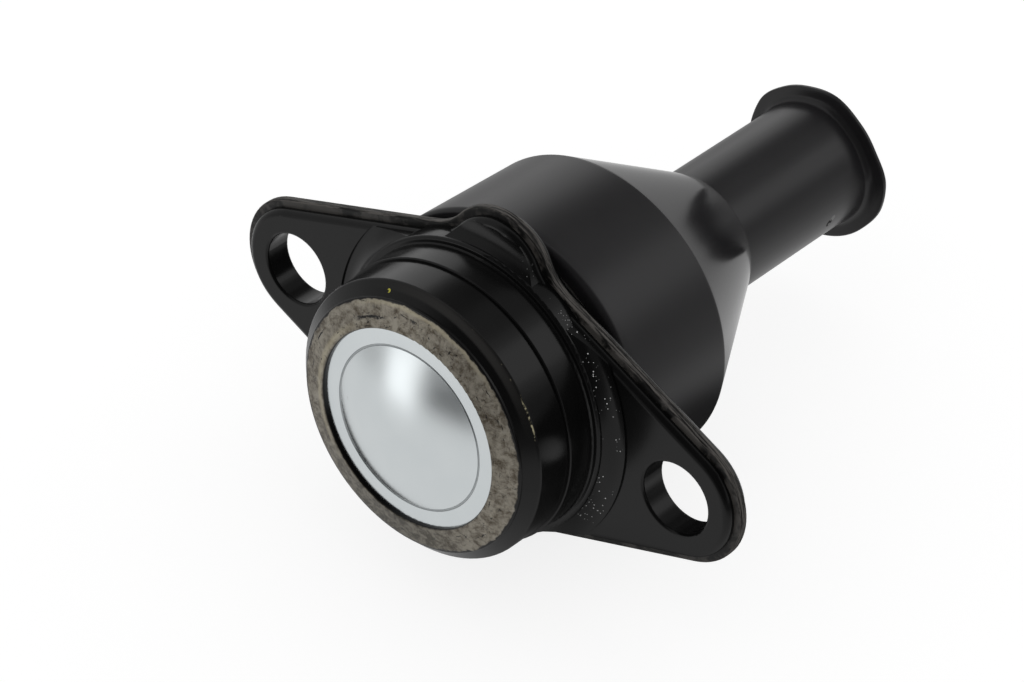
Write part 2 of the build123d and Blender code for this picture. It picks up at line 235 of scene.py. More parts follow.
def settle(piece):
    """Merges doubles, turns the faces outwards and smooths all but the sharp edges."""
    activate(piece)
    bpy.ops.object.mode_set(mode="EDIT")
    bpy.ops.mesh.select_all(action="SELECT")
    bpy.ops.mesh.remove_doubles(threshold=MERGE_MM * MM)
    bpy.ops.mesh.normals_make_consistent(inside=False)
    bpy.ops.object.mode_set(mode="OBJECT")
    bpy.ops.object.shade_smooth_by_angle(angle=math.radians(SHARP_DEG))
    return piece


def turned(name, points, steps=TURNED_STEPS):
    """A solid turned about the stud's axis from a section of (radius, height) points."""
    piece = draw_outline(name, points, True)
    bpy.ops.mesh.select_all(action="SELECT")
    bpy.ops.mesh.spin(
        steps=steps, angle=math.tau, center=(0, 0, 0), axis=(0, 0, 1), use_auto_merge=True
    )
    return settle(piece)


def apply_modifier(piece, kind, **values):
    """Adds a modifier with these values to the piece and applies it."""
    modifier = piece.modifiers.new(kind.title(), kind)
    for key, value in values.items():
        setattr(modifier, key, value)
    activate(piece)
    bpy.ops.object.modifier_apply(modifier=modifier.name)


def combine(piece, other, operation):
    """Joins the other solid to the piece, cuts it out or keeps what they share, and removes it."""
    apply_modifier(piece, "BOOLEAN", object=other, operation=operation, solver="EXACT")
    bpy.data.objects.remove(other, do_unlink=True)


# Pieces

def make_boot_wall():
    """The boot's straight wall, from its lip behind the flange up to just under the crease."""
    foot_r, foot_low, foot_high = FOOT_GROOVE
    corners = [
        (BOOT_IN_R, BOOT_Z),
        (BOOT_R, BOOT_Z),
        (BOOT_SPLIT_R, BOOT_SPLIT_Z),
        (BOOT_WALL_IN_R, BOOT_SPLIT_Z),
        (BOOT_WALL_IN_R, RING_TOP_Z + RING_TAPER),
        (BOOT_IN_R, RING_TOP_Z),
        (BOOT_IN_R, foot_high),
        (foot_r, foot_high),
        (foot_r, foot_low),
        (BOOT_IN_R, foot_low),
    ]
    section = divided(rounded(corners, {1: BOOT_ROUND}), BOOT_SIDE)
    return turned("boot_wall", section)


def make_boot_cone():
    """The boot's cone, from the crease up to the mouth that grips the sleeve."""
    groove_r, groove_low, groove_high = NECK_GROOVE
    corners = [
        (BOOT_WALL_IN_R, BOOT_SPLIT_Z),
        (BOOT_SPLIT_R, BOOT_SPLIT_Z),
        (CREASE_R, CREASE_Z),
        (MOUTH_R, MOUTH_Z),
        (BOOT_NECK_R, MOUTH_Z),
        (BOOT_NECK_R, groove_high),
        (groove_r, groove_high),
        (groove_r, groove_low),
        (BOOT_NECK_R, groove_low),
        (BOOT_NECK_R, BOOT_NECK_Z),
        (BOOT_NECK_UNDER_R, BOOT_NECK_Z),
        (BOOT_WALL_IN_R, INNER_CREASE_Z),
    ]
    section = divided(rounded(corners, {2: BOOT_ROUND, 3: EDGE_ROUND}), BOOT_SIDE)
    return turned("boot_cone", section)


def make_thread():
    """A threaded rod with real flanks, cut to the thread's length and chamfered at both ends."""
    root_r = THREAD_R - THREAD_DEPTH
    start_z = THREAD_Z - 2 * THREAD_PITCH
    crest = THREAD_PITCH / 8
    flank = (THREAD_PITCH - 2 * crest) / 2
    profile = [
        (root_r, start_z),
        (root_r, start_z + crest),
        (THREAD_R, start_z + crest + flank),
        (THREAD_R, start_z + 2 * crest + flank),
        (root_r, start_z + THREAD_PITCH),
    ]
    rod = draw_outline("thread", profile, False)
    bpy.ops.object.mode_set(mode="OBJECT")
    turns = math.ceil((STUD_END_Z - start_z) / THREAD_PITCH) + 2
    apply_modifier(
        rod,
        "SCREW",
        angle=math.tau,
        screw_offset=THREAD_PITCH * MM,
        iterations=turns,
        steps=THREAD_STEPS,
        render_steps=THREAD_STEPS,
        use_merge_vertices=True,
        merge_threshold=MERGE_MM * MM,
    )
    bpy.ops.object.mode_set(mode="EDIT")
    cuts = [(THREAD_Z - ROD_CUT, False), (STUD_END_Z, True)]
    for height, top in cuts:
        bpy.ops.mesh.select_all(action="SELECT")
        bpy.ops.mesh.bisect(
            plane_co=(0, 0, height * MM),
            plane_no=(0, 0, 1),
            use_fill=True,
            clear_inner=not top,
            clear_outer=top,
        )
    settle(rod)
    foot_z = THREAD_Z - 2 * ROD_CUT
    end_z = STUD_END_Z - ROD_END_TRIM
    envelope = turned(
        "thread_envelope",
        [
            (0, foot_z),
            (RELIEF_R, foot_z),
            (RELIEF_R, THREAD_Z),
            (THREAD_R + THREAD_SLACK, THREAD_Z + THREAD_DEPTH),
            (THREAD_R + THREAD_SLACK, STUD_END_Z - THREAD_CHAMFER),
            (THREAD_R - THREAD_CHAMFER, end_z),
            (0, end_z),
        ],
        THREAD_STEPS,
    )
    combine(rod, envelope, "INTERSECT")
    return rod


def make_stud():
    """The ball stud: ball, neck, shoulder, taper and thread, with a hex socket in its end."""
    flat_z = BALL_Z - math.sqrt(BALL_R**2 - BALL_FLAT_R**2)
    neck_angle = math.acos(NECK_R / BALL_R)
    flat_angle = -math.acos(BALL_FLAT_R / BALL_R)
    corners = [(0, flat_z)]
    for i in range(BALL_STEPS + 1):
        angle = flat_angle + (neck_angle - flat_angle) * i / BALL_STEPS
        corners.append((BALL_R * math.cos(angle), BALL_Z + BALL_R * math.sin(angle)))
    neck_index = len(corners) - 1
    corners += [
        (NECK_R, BALL_Z + NECK_LEN),
        (SEAT_R - SHANK_INSET, SHOULDER_Z),
        (SHOULDER_R, SHOULDER_Z),
        (SHOULDER_R, SEAT_Z),
        (SEAT_R, SEAT_Z),
        (SEAT_R, TAPER_Z),
        (TAPER_R, TAPER_Z),
        (TAPER_R - TAPER_DROP, RELIEF_Z),
        (RELIEF_R, RELIEF_Z),
        (RELIEF_R, THREAD_Z - SHANK_CUT),
        (0, THREAD_Z - SHANK_CUT),
    ]
    rounds = {
        neck_index: NECK_ROUND,
        neck_index + 2: SHOULDER_ROUND,
        neck_index + 3: SHOULDER_ROUND,
        neck_index + 4: SHOULDER_ROUND,
        neck_index + 6: EDGE_ROUND,
        neck_index + 8: EDGE_ROUND,
    }
    stud = turned("ball_stud_threaded", rounded(corners, rounds), STUD_STEPS)
    combine(stud, make_thread(), "UNION")

    deselect_all()
    bpy.ops.mesh.primitive_cylinder_add(
        vertices=6,
        radius=HEX_FLATS / math.sqrt(3) * MM,
        depth=2 * HEX_DEPTH * MM,
        location=(0, 0, STUD_END_Z * MM),
        rotation=(0, 0, math.radians(30)),
    )
    bpy.ops.object.transform_apply(location=True, rotation=True, scale=True)
    combine(stud, bpy.context.active_object, "DIFFERENCE")
    return settle(stud)


def press(piece, low_z, direction_deg, push_mm):
    """Pushes one side of a tube's rim, above a height, inwards, with a smooth falloff."""
    angle = math.radians(direction_deg)
    toward = Vector((math.cos(angle), math.sin(angle), 0))
    activate(piece)
    bpy.ops.object.mode_set(mode="EDIT")
    bpy.ops.mesh.select_mode(type="VERT")
    bpy.ops.mesh.select_all(action="DESELECT")
    bpy.ops.object.mode_set(mode="OBJECT")
    rim = max(v.co.dot(toward) for v in piece.data.vertices if v.co.z > low_z * MM)
    for v in piece.data.vertices:
        v.select = v.co.z > low_z * MM and v.co.dot(toward) > rim - PRESS_GRIP * MM
    bpy.ops.object.mode_set(mode="EDIT")
    bpy.ops.transform.translate(
        value=-toward * push_mm * MM,
        use_proportional_edit=True,
        proportional_edit_falloff="SMOOTH",
        proportional_size=PRESS_REACH * MM,
        use_proportional_connected=True,
    )
    bpy.ops.object.mode_set(mode="OBJECT")


def make_sleeve():
    """The transport sleeve: a thin tube whose flared end is slightly out of round."""
    flare_z = SLEEVE_END_Z - FLARE_RIM
    bend_r = SLEEVE_R + FLARE_BEND_R
    curve = [
        (
            bend_r - FLARE_BEND_R * math.cos(math.radians(a)),
            flare_z - FLARE_BEND_R + FLARE_BEND_R * math.sin(math.radians(a)),
        )
        for a in range(0, 91, 10)
    ]
    corners = [
        (SLEEVE_BORE_R + SLEEVE_CHAMFER, SLEEVE_Z),
        (SLEEVE_R, SLEEVE_Z),
        *curve,
        (FLARE_R, flare_z),
        (FLARE_R, SLEEVE_END_Z),
        (SLEEVE_BORE_R + SLEEVE_CHAMFER, SLEEVE_END_Z),
        (SLEEVE_BORE_R, SLEEVE_END_Z - SLEEVE_CHAMFER),
        (SLEEVE_BORE_R, SLEEVE_Z + SLEEVE_CHAMFER),
    ]
    rim = len(curve) + 2
    rim_rounds = {rim: EDGE_ROUND, rim + 1: EDGE_ROUND}
    section = divided(rounded(corners, rim_rounds), SLEEVE_SIDE)
    sleeve = turned("transport_sleeve_flared", section)
    for direction_deg, push_mm in FLARE_PRESSES:
        press(sleeve, flare_z - FLARE_BEND_R, direction_deg, push_mm)
    return settle(sleeve)


# Node helpers

def link(tree, source, target):
    """Joins an output socket to an input socket."""
    tree.links.new(source, target)


def new_group(name, inputs, outputs):
    """A shader node group with named float or vector sockets, and its input and output nodes."""
    tree = bpy.data.node_groups.new(name, "ShaderNodeTree")
    kinds = {"value": "NodeSocketFloat", "vector": "NodeSocketVector"}
    for in_out, sockets in (("INPUT", inputs), ("OUTPUT", outputs)):
        for socket_name, kind, default in sockets:
            socket = tree.interface.new_socket(
                name=socket_name, in_out=in_out, socket_type=kinds[kind]
            )
            if default is not None:
                socket.default_value = default
    return tree, tree.nodes.new("NodeGroupInput"), tree.nodes.new("NodeGroupOutput")


def set_input(tree, node, key, value):
    """Sets an input socket to a number or colour, or links it to another node's output."""
    if isinstance(value, bpy.types.NodeSocket):
        link(tree, value, node.inputs[key])
    elif value is not None:
        node.inputs[key].default_value = value


def calculate(tree, operation, a, b=None, c=None, clamp=False):
    """A Math node on up to three numbers or sockets."""
    node = tree.nodes.new("ShaderNodeMath")
    node.operation = operation
    node.use_clamp = clamp
    for key, value in enumerate((a, b, c)):
        set_input(tree, node, key, value)
    return node.outputs[0]


def fade(tree, value, low, high, to_low=0.0, to_high=1.0):
    """Carries a value smoothly from one range to another."""
    node = tree.nodes.new("ShaderNodeMapRange")
    node.interpolation_type = "SMOOTHSTEP"
    for key, item in zip(
        ("Value", "From Min", "From Max", "To Min", "To Max"), (value, low, high, to_low, to_high)
    ):
        set_input(tree, node, key, item)
    return node.outputs["Result"]


def noise(tree, vector, scale, detail=3.0, rough=0.55, distortion=0.0):
    """A Noise texture's value on a vector."""
    node = tree.nodes.new("ShaderNodeTexNoise")
    set_input(tree, node, "Vector", vector)
    set_input(tree, node, "Scale", scale)
    set_input(tree, node, "Detail", detail)
    set_input(tree, node, "Roughness", rough)
    set_input(tree, node, "Distortion", distortion)
    return node.outputs["Fac"]


def mix_colour(tree, share, a, b):
    """Colour a turning to colour b by a share."""
    node = tree.nodes.new("ShaderNodeMix")
    node.data_type = "RGBA"
    set_input(tree, node, 0, share)
    set_input(tree, node, 6, a)
    set_input(tree, node, 7, b)
    return node.outputs[2]


def mix_value(tree, share, a, b):
    """Number a turning to number b by a share."""
    node = tree.nodes.new("ShaderNodeMix")
    set_input(tree, node, 0, share)
    set_input(tree, node, 2, a)
    set_input(tree, node, 3, b)
    return node.outputs[0]


def use_group(tree, group, **values):
    """Places a shared group in a material with its own values."""
    node = tree.nodes.new("ShaderNodeGroup")
    node.node_tree = group
    for key, value in values.items():
        set_input(tree, node, key.replace("_", " "), value)
    return node


def split(tree, vector):
    """A vector's x, y and z."""
    node = tree.nodes.new("ShaderNodeSeparateXYZ")
    link(tree, vector, node.inputs[0])
    return node.outputs


def vector_of(tree, x, y, z):
    """The vector of three numbers or sockets."""
    node = tree.nodes.new("ShaderNodeCombineXYZ")
    for key, value in enumerate((x, y, z)):
        set_input(tree, node, key, value)
    return node.outputs[0]


def stretched(tree, position, scale):
    """The position scaled along each axis, which stretches a pattern where the scale is small."""
    node = tree.nodes.new("ShaderNodeMapping")
    node.inputs["Scale"].default_value = scale
    link(tree, position, node.inputs["Vector"])
    return node.outputs[0]


def across(tree, x, y):
    """The length of two sides at right angles, taken together."""
    squares = calculate(
        tree, "ADD", calculate(tree, "MULTIPLY", x, x), calculate(tree, "MULTIPLY", y, y)
    )
    return calculate(tree, "SQRT", squares)


def distance_to(tree, position, place):
    """How far a position is from a place, in metres."""
    node = tree.nodes.new("ShaderNodeVectorMath")
    node.operation = "DISTANCE"
    link(tree, position, node.inputs[0])
    node.inputs[1].default_value = place
    return node.outputs["Value"]


def cells(tree, vector, scale):
    """The distance to the nearest of many scattered points."""
    node = tree.nodes.new("ShaderNodeTexVoronoi")
    link(tree, vector, node.inputs["Vector"])
    set_input(tree, node, "Scale", scale)
    return node.outputs["Distance"]


def plain_shader(tree, kind, colour):
    """A diffuse, emission or background shader of a colour or a linked level."""
    node = tree.nodes.new(kind)
    set_input(tree, node, "Color", colour)
    return node.outputs[0]


def mix_shader(tree, share, a, b):
    """Shader a turning to shader b by a share."""
    node = tree.nodes.new("ShaderNodeMixShader")
    for key, value in enumerate((share, a, b)):
        link(tree, value, node.inputs[key])
    return node.outputs[0]


def grey(level, warmth=0.0):
    """A nearly grey colour, warmer above zero and cooler below."""
    return (level * (1 + warmth), level, level * (1 - warmth), 1.0)


# Shared effects

def group_round_place():
    """Where a point of a turned piece lies: radius and height in millimetres, and angle."""
    tree, inp, out = new_group(
        "Place on a turned piece",
        [("Position", "vector", None)],
        [("Radius", "value", None), ("Height", "value", None), ("Angle", "value", None)],
    )
    x, y, z = split(tree, inp.outputs["Position"])
    radius = calculate(tree, "MULTIPLY", across(tree, x, y), 1 / MM)
    height = calculate(tree, "MULTIPLY", z, 1 / MM)
    link(tree, radius, out.inputs["Radius"])
    link(tree, height, out.inputs["Height"])
    link(tree, calculate(tree, "ARCTAN2", y, x), out.inputs["Angle"])
    return tree


def group_band():
    """A soft-edged band: one where the value is within Half width of Centre."""
    tree, inp, out = new_group(
        "Band",
        [
            ("Value", "value", 0.0),
            ("Centre", "value", 0.0),
            ("Half width", "value", 1.0),
            ("Softness", "value", 0.2),
        ],
        [("Mask", "value", None)],
    )
    gap = calculate(
        tree,
        "ABSOLUTE",
        calculate(tree, "SUBTRACT", inp.outputs["Value"], inp.outputs["Centre"]),
    )
    inner = calculate(tree, "SUBTRACT", inp.outputs["Half width"], inp.outputs["Softness"])
    outer = calculate(tree, "ADD", inp.outputs["Half width"], inp.outputs["Softness"])
    link(tree, fade(tree, gap, inner, outer, 1.0, 0.0), out.inputs["Mask"])
    return tree


def group_grain():
    """Fine cast or moulded grain as a height, with slow clouds and small specks as masks."""
    tree, inp, out = new_group(
        "Grain and clouds",
        [
            ("Position", "vector", None),
            ("Grain scale", "value", 2500.0),
            ("Cloud scale", "value", 90.0),
        ],
        [("Height", "value", None), ("Clouds", "value", None), ("Specks", "value", None)],
    )
    grain = noise(tree, inp.outputs["Position"], inp.outputs["Grain scale"], 4.0, 0.6)
    clouds = noise(tree, inp.outputs["Position"], inp.outputs["Cloud scale"], 3.0, 0.55)
    speck_scale = calculate(tree, "MULTIPLY", inp.outputs["Grain scale"], 0.35)
    speck_gap = cells(tree, inp.outputs["Position"], speck_scale)
    specks = fade(tree, speck_gap, 0.10, 0.16, 1.0, 0.0)
    link(tree, grain, out.inputs["Height"])
    link(tree, clouds, out.inputs["Clouds"])
    link(tree, specks, out.inputs["Specks"])
    return tree


def group_wear():
    """Broken-up wear: keeps the part of a mask that a noise lets through."""
    tree, inp, out = new_group(
        "Chipped wear",
        [
            ("Position", "vector", None),
            ("Mask", "value", 0.0),
            ("Scale", "value", 400.0),
            ("Amount", "value", 0.5),
        ],
        [("Wear", "value", None)],
    )
    chips = noise(tree, inp.outputs["Position"], inp.outputs["Scale"], 5.0, 0.65, 0.6)
    level = calculate(tree, "SUBTRACT", 1.0, inp.outputs["Amount"])
    low = calculate(tree, "SUBTRACT", level, 0.06)
    high = calculate(tree, "ADD", level, 0.06)
    let_through = fade(tree, chips, low, high)
    link(
        tree,
        calculate(tree, "MULTIPLY", let_through, inp.outputs["Mask"]),
        out.inputs["Wear"],
    )
    return tree


def group_tool_lines():
    """Fine lines round the axis, as a lathe or a spinning tool leaves them."""
    tree, inp, out = new_group(
        "Tool lines",
        [
            ("Radius", "value", 0.0),
            ("Height", "value", 0.0),
            ("Angle", "value", 0.0),
            ("Fineness", "value", 6.0),
        ],
        [("Lines", "value", None)],
    )
    fineness = inp.outputs["Fineness"]
    vector = vector_of(
        tree,
        calculate(tree, "MULTIPLY", inp.outputs["Radius"], fineness),
        calculate(tree, "MULTIPLY", inp.outputs["Height"], fineness),
        calculate(tree, "COSINE", inp.outputs["Angle"]),
    )
    link(tree, noise(tree, vector, 1.0, 4.0, 0.7), out.inputs["Lines"])
    return tree


PLACE = group_round_place()
BAND = group_band()
GRAIN = group_grain()
WEAR = group_wear()
TOOL_LINES = group_tool_lines()


# Finishes

# Small marks on the pieces, in millimetres: a dab of inspection paint on the housing's chamfer, and
# a moulding mark on the transport sleeve with a scuff beside it
DAB_PLACE = Vector((-8.16, -22.41, 4.45))
DAB_SIZE = 0.36
DAB_HOLLOW = Vector((0.2, -0.08, 0.16))
DAB_HOLLOW_SIZE = 0.28
MOULD_MARK = Vector((11.58, 2.25, 101.33))
MOULD_MARK_SIZE = 0.75
MOULD_SCUFF = Vector((11.70, 1.50, 102.20))
MOULD_SCUFF_SIZE = 0.6
MOULD_SCUFF_START = 0.85
SPOT_EDGE = 0.05

# Bands on the housing that wear differently or carry painted highlights, as (middle, half width,
# softness). The first is a radius in millimetres, and the others are angles in radians
GOUGE_RADIUS = (19.9, 0.25, 0.15)
GOUGED_SIDE = (-2.08, 0.16, 0.05)
CHIP_AND_HIGHLIGHT_SIDE = (-0.85, 0.55, 0.2)
MOST_CHIP_AND_HIGHLIGHT_SIDE = (-0.54, 0.15, 0.12)
SMEARED_SIDE = (-1.25, 0.55, 0.35)
GRIT_AND_GLINT_SIDE = (-0.35, 0.85, 0.25)
RUBBED_SIDE = (-1.5, 0.6, 0.3)
GRIMY_SIDE = (1.75, 0.7, 0.5)

# Colours
RIM_DARK = (0.085, 0.068, 0.048, 1)
RIM_PALE = (0.33, 0.305, 0.255, 1)
RIM_CRUMBS = (0.34, 0.31, 0.25, 1)
RIM_RUB_AND_HIGHLIGHT = (0.52, 0.47, 0.34, 1)
RIM_GRIME = (0.050, 0.047, 0.036, 1)
CHIP_AND_HIGHLIGHT_COLOUR = (0.52, 0.47, 0.30, 1)
YELLOW_DAB = (0.50, 0.47, 0.06, 1)
ZINC_DARK = (0.70, 0.745, 0.76, 1)
ZINC_PALE = (0.78, 0.82, 0.83, 1)
RUBBER_DARK = (0.0125, 0.012, 0.013, 1)
RUBBER_PALE = (0.019, 0.018, 0.0195, 1)
TUBE_DARK = (0.013, 0.0125, 0.0135, 1)
TUBE_PALE = (0.020, 0.019, 0.0205, 1)
ACETAL_DARK = (0.76, 0.74, 0.68, 1)
ACETAL_PALE = (0.86, 0.85, 0.80, 1)


def new_material(name):
    """An empty material with its Principled shader and the position on the piece."""
    material = bpy.data.materials.new(name)
    material.use_nodes = True
    tree = material.node_tree
    tree.nodes.clear()
    shader = tree.nodes.new("ShaderNodeBsdfPrincipled")
    out = tree.nodes.new("ShaderNodeOutputMaterial")
    link(tree, shader.outputs[0], out.inputs["Surface"])
    position = tree.nodes.new("ShaderNodeTexCoord").outputs["Object"]
    return material, tree, shader, position


def bump(tree, shader, height, strength, distance_mm):
    """Feeds a height to the shader's normal."""
    node = tree.nodes.new("ShaderNodeBump")
    node.inputs["Strength"].default_value = strength
    node.inputs["Distance"].default_value = distance_mm * MM
    link(tree, height, node.inputs["Height"])
    link(tree, node.outputs[0], shader.inputs["Normal"])


def turned_place(tree, position):
    """The radius and height in millimetres and the angle of a point on a turned piece."""
    place = use_group(tree, PLACE, Position=position)
    return place.outputs["Radius"], place.outputs["Height"], place.outputs["Angle"]


def tool_lines(tree, place, fineness):
    """Fine lines round the axis."""
    radius, height, angle = place
    node = use_group(
        tree, TOOL_LINES, Radius=radius, Height=height, Angle=angle, Fineness=fineness
    )
    return node.outputs["Lines"]


def band(tree, value, centre, half_width, softness):
    """A band mask on a value."""
    node = use_group(
        tree, BAND, Value=value, Centre=centre, Half_width=half_width, Softness=softness
    )
    return node.outputs["Mask"]


def spot(tree, position, centre, size_mm, outside=False):
    """The inside, or the outside, of a small round spot about a place given in millimetres."""
    inner, outer = (0.0, 1.0) if outside else (1.0, 0.0)
    return fade(
        tree,
        distance_to(tree, position, centre * MM),
        (size_mm - SPOT_EDGE) * MM,
        (size_mm + SPOT_EDGE) * MM,
        inner,
        outer,
    )


def most(tree, *masks):
    """The greatest of several masks."""
    result = masks[0]
    for mask in masks[1:]:
        result = calculate(tree, "MAXIMUM", result, mask)
    return result


def both(tree, *masks):
    """The product of several masks."""
    result = masks[0]
    for mask in masks[1:]:
        result = calculate(tree, "MULTIPLY", result, mask)
    return result


def ragged_radius(tree, position, radius):
    """The radius with a torn wobble, so that the coat's edge follows no clean circle."""
    wobble = calculate(tree, "SUBTRACT", noise(tree, position, 450.0, 4.0, 0.6), 0.5)
    return calculate(tree, "ADD", radius, calculate(tree, "MULTIPLY", wobble, 1.3))


def bare_rim(tree, position, place, coat_edge, crumbs):
    """Bare steel on the rolled rim's face, but for its pits, scores and gouge."""
    radius, height, angle = place
    rim_face = both(
        tree,
        fade(tree, coat_edge, RIM_R - 0.55, RIM_R - 0.25, 1.0, 0.0),
        fade(tree, radius, LIP_R + 0.05, LIP_R + 0.3),
        fade(tree, height, RIM_Z + 0.1, RIM_Z + 0.3, 1.0, 0.0),
    )
    pits = use_group(tree, WEAR, Position=position, Mask=1.0, Scale=1000.0, Amount=0.35)
    round_rim = vector_of(tree, radius, height, calculate(tree, "MULTIPLY", angle, 4.0))
    scores = fade(tree, noise(tree, round_rim, 1.6, 3.0, 0.6), 0.64, 0.70)
    gouge = both(
        tree,
        band(tree, coat_edge, *GOUGE_RADIUS),
        band(tree, angle, *GOUGED_SIDE),
        fade(tree, crumbs, 0.40, 0.50),
    )
    dark_marks = most(tree, pits.outputs["Wear"], scores, gouge)
    return both(tree, rim_face, calculate(tree, "SUBTRACT", 1.0, dark_marks))


def corner_chips_and_highlight(tree, position, place):
    """Small chips along the corner behind the chamfer, most on one side, which also paint the
    bright highlight along that corner.
    """
    radius, height, angle = place
    corner = both(
        tree,
        band(tree, height, CORNER_Z - 0.02, 0.10, 0.10),
        fade(tree, radius, CORNER_R - 0.5, CORNER_R - 0.3),
    )
    amount = most(
        tree,
        fade(tree, band(tree, angle, *CHIP_AND_HIGHLIGHT_SIDE), 0.0, 1.0, 0.2, 0.34),
        fade(tree, band(tree, angle, *MOST_CHIP_AND_HIGHLIGHT_SIDE), 0.0, 1.0, 0.2, 0.48),
    )
    wear = use_group(tree, WEAR, Position=position, Mask=corner, Scale=900.0, Amount=amount)
    return wear.outputs["Wear"]


def dusty_smear(tree, place):
    """A smear of dust on the chamfer beside the chipped corner."""
    radius, height, angle = place
    return both(
        tree,
        band(tree, height, CORNER_Z - 0.6, 0.55, 0.4),
        band(tree, angle, *SMEARED_SIDE),
        fade(tree, radius, CORNER_R - 1.4, CORNER_R - 1.0),
    )


def trimmed_edge(tree, position, place):
    """The rough trimmed band round the flange's edge, but not inside the bolt holes."""
    radius, height, _ = place
    x, y, _ = split(tree, position)
    along = calculate(tree, "SUBTRACT", calculate(tree, "ABSOLUTE", x), EAR_X * MM)
    return both(
        tree,
        band(tree, height, (FLASH_Z + FLASH_REAR_Z) / 2, 0.8, 0.06),
        fade(tree, radius, COLLAR_R + 0.2, COLLAR_R + 0.4),
        fade(tree, across(tree, along, y), (BOLT_R + 1.0) * MM, (BOLT_R + 1.3) * MM),
    )


def skirt_grit_and_glints(tree, position, place):
    """Bright gritty specks caught in the skirt's hollow on one side, partly painted glints."""
    radius, height, angle = place
    return both(
        tree,
        band(tree, radius, (COLLAR_R + SKIRT_R) / 2 - 0.3, (SKIRT_R - COLLAR_R) / 2 - 0.4, 0.4),
        band(tree, height, FLANGE_Z - 0.7, 1.1, 0.3),
        band(tree, angle, *GRIT_AND_GLINT_SIDE),
        fade(tree, cells(tree, position, 1500.0), 0.13, 0.20, 1.0, 0.0),
        fade(tree, noise(tree, position, 230.0, 2.0), 0.47, 0.53),
    )


def rim_steel(tree, position, place, coat_edge, crumbs):
    """The bare rim's colour: mottled, worn pale along its outer edge, pale by the lip on one side
    from wear and a painted highlight, and grimy on one side.
    """
    radius, _, angle = place
    blotches = fade(tree, noise(tree, position, 560.0, 5.0, 0.74, 0.4), 0.34, 0.66)
    steel = mix_colour(tree, blotches, RIM_DARK, RIM_PALE)
    steel = mix_colour(tree, fade(tree, crumbs, 0.45, 0.8), steel, RIM_CRUMBS)
    # Pale band by the lip on one side: worn, and a painted highlight on the lip's rounded edge
    lip_wear_and_highlight = both(
        tree,
        band(tree, radius, LIP_R + 0.95, 0.45, 0.4),
        fade(tree, calculate(tree, "ABSOLUTE", angle), 2.1, 2.7),
    )
    rubbed_edge = both(
        tree,
        fade(tree, coat_edge, RIM_R - 1.3, RIM_R - 0.7),
        band(tree, angle, *RUBBED_SIDE),
    )
    rub_and_highlight = calculate(tree, "MULTIPLY", most(tree, lip_wear_and_highlight, rubbed_edge), 0.55)
    steel = mix_colour(tree, rub_and_highlight, steel, RIM_RUB_AND_HIGHLIGHT)
    grime = both(
        tree,
        band(tree, angle, *GRIMY_SIDE),
        fade(tree, blotches, 0.2, 0.6, 0.75, 0.45),
    )
    return mix_colour(tree, grime, steel, RIM_GRIME)


def housing_paint():
    """Black dip coat over forged steel: worn bare on the rolled rim, chipped on its corner, with
    painted highlights there and by the lip, and painted glints in the skirt.
    """
    material, tree, shader, position = new_material("black dip coat on forging")
    place = turned_place(tree, position)
    grain = use_group(tree, GRAIN, Position=position, Grain_scale=2600.0, Cloud_scale=110.0)
    clouds = grain.outputs["Clouds"]
    crumbs = noise(tree, position, 1500.0, 4.0, 0.7)
    coat_edge = ragged_radius(tree, position, place[0])
    bare = bare_rim(tree, position, place, coat_edge, crumbs)
    chips = corner_chips_and_highlight(tree, position, place)
    smear = dusty_smear(tree, place)
    trimmed = trimmed_edge(tree, position, place)
    grit_and_glints = skirt_grit_and_glints(tree, position, place)
    dab = both(
        tree,
        spot(tree, position, DAB_PLACE, DAB_SIZE),
        spot(tree, position, DAB_PLACE - DAB_HOLLOW, DAB_HOLLOW_SIZE, True),
    )
    layers = noise(tree, stretched(tree, position, (0.4, 0.4, 9)), 420.0, 5.0, 0.7, 0.3)
    torn = fade(tree, layers, 0.43, 0.58)

    coat = mix_colour(tree, clouds, grey(0.0030), grey(0.0060))
    coat = mix_colour(tree, calculate(tree, "MULTIPLY", smear, 0.5), coat, grey(0.045, 0.06))
    torn_colour = mix_colour(tree, torn, grey(0.003, 0.1), grey(0.10, 0.08))
    coat = mix_colour(tree, trimmed, coat, torn_colour)
    # Bright specks in the skirt: real specks, and painted glints
    coat = mix_colour(tree, grit_and_glints, coat, grey(0.75))
    # Chipped corner: bare chips that also stand in for a painted highlight along the corner
    coat = mix_colour(tree, chips, coat, CHIP_AND_HIGHLIGHT_COLOUR)
    coat = mix_colour(tree, dab, coat, YELLOW_DAB)
    steel = rim_steel(tree, position, place, coat_edge, crumbs)
    link(tree, mix_colour(tree, bare, coat, steel), shader.inputs["Base Color"])
    link(tree, calculate(tree, "MULTIPLY", bare, 0.75), shader.inputs["Metallic"])
    link(tree, mix_value(tree, bare, 0.25, 0.5), shader.inputs["Specular IOR Level"])
    coat_rough = mix_value(tree, clouds, 0.14, 0.24)
    coat_rough = mix_value(tree, most(tree, smear, trimmed, chips), coat_rough, 0.55)
    link(tree, mix_value(tree, bare, coat_rough, 0.44), shader.inputs["Roughness"])
    coat_relief = calculate(tree, "MULTIPLY", grain.outputs["Height"], 0.25)
    relief = mix_value(tree, bare, coat_relief, crumbs)
    relief = mix_value(tree, trimmed, relief, calculate(tree, "MULTIPLY", torn, 2.6))
    bump(tree, shader, relief, 0.3, 0.05)
    return material


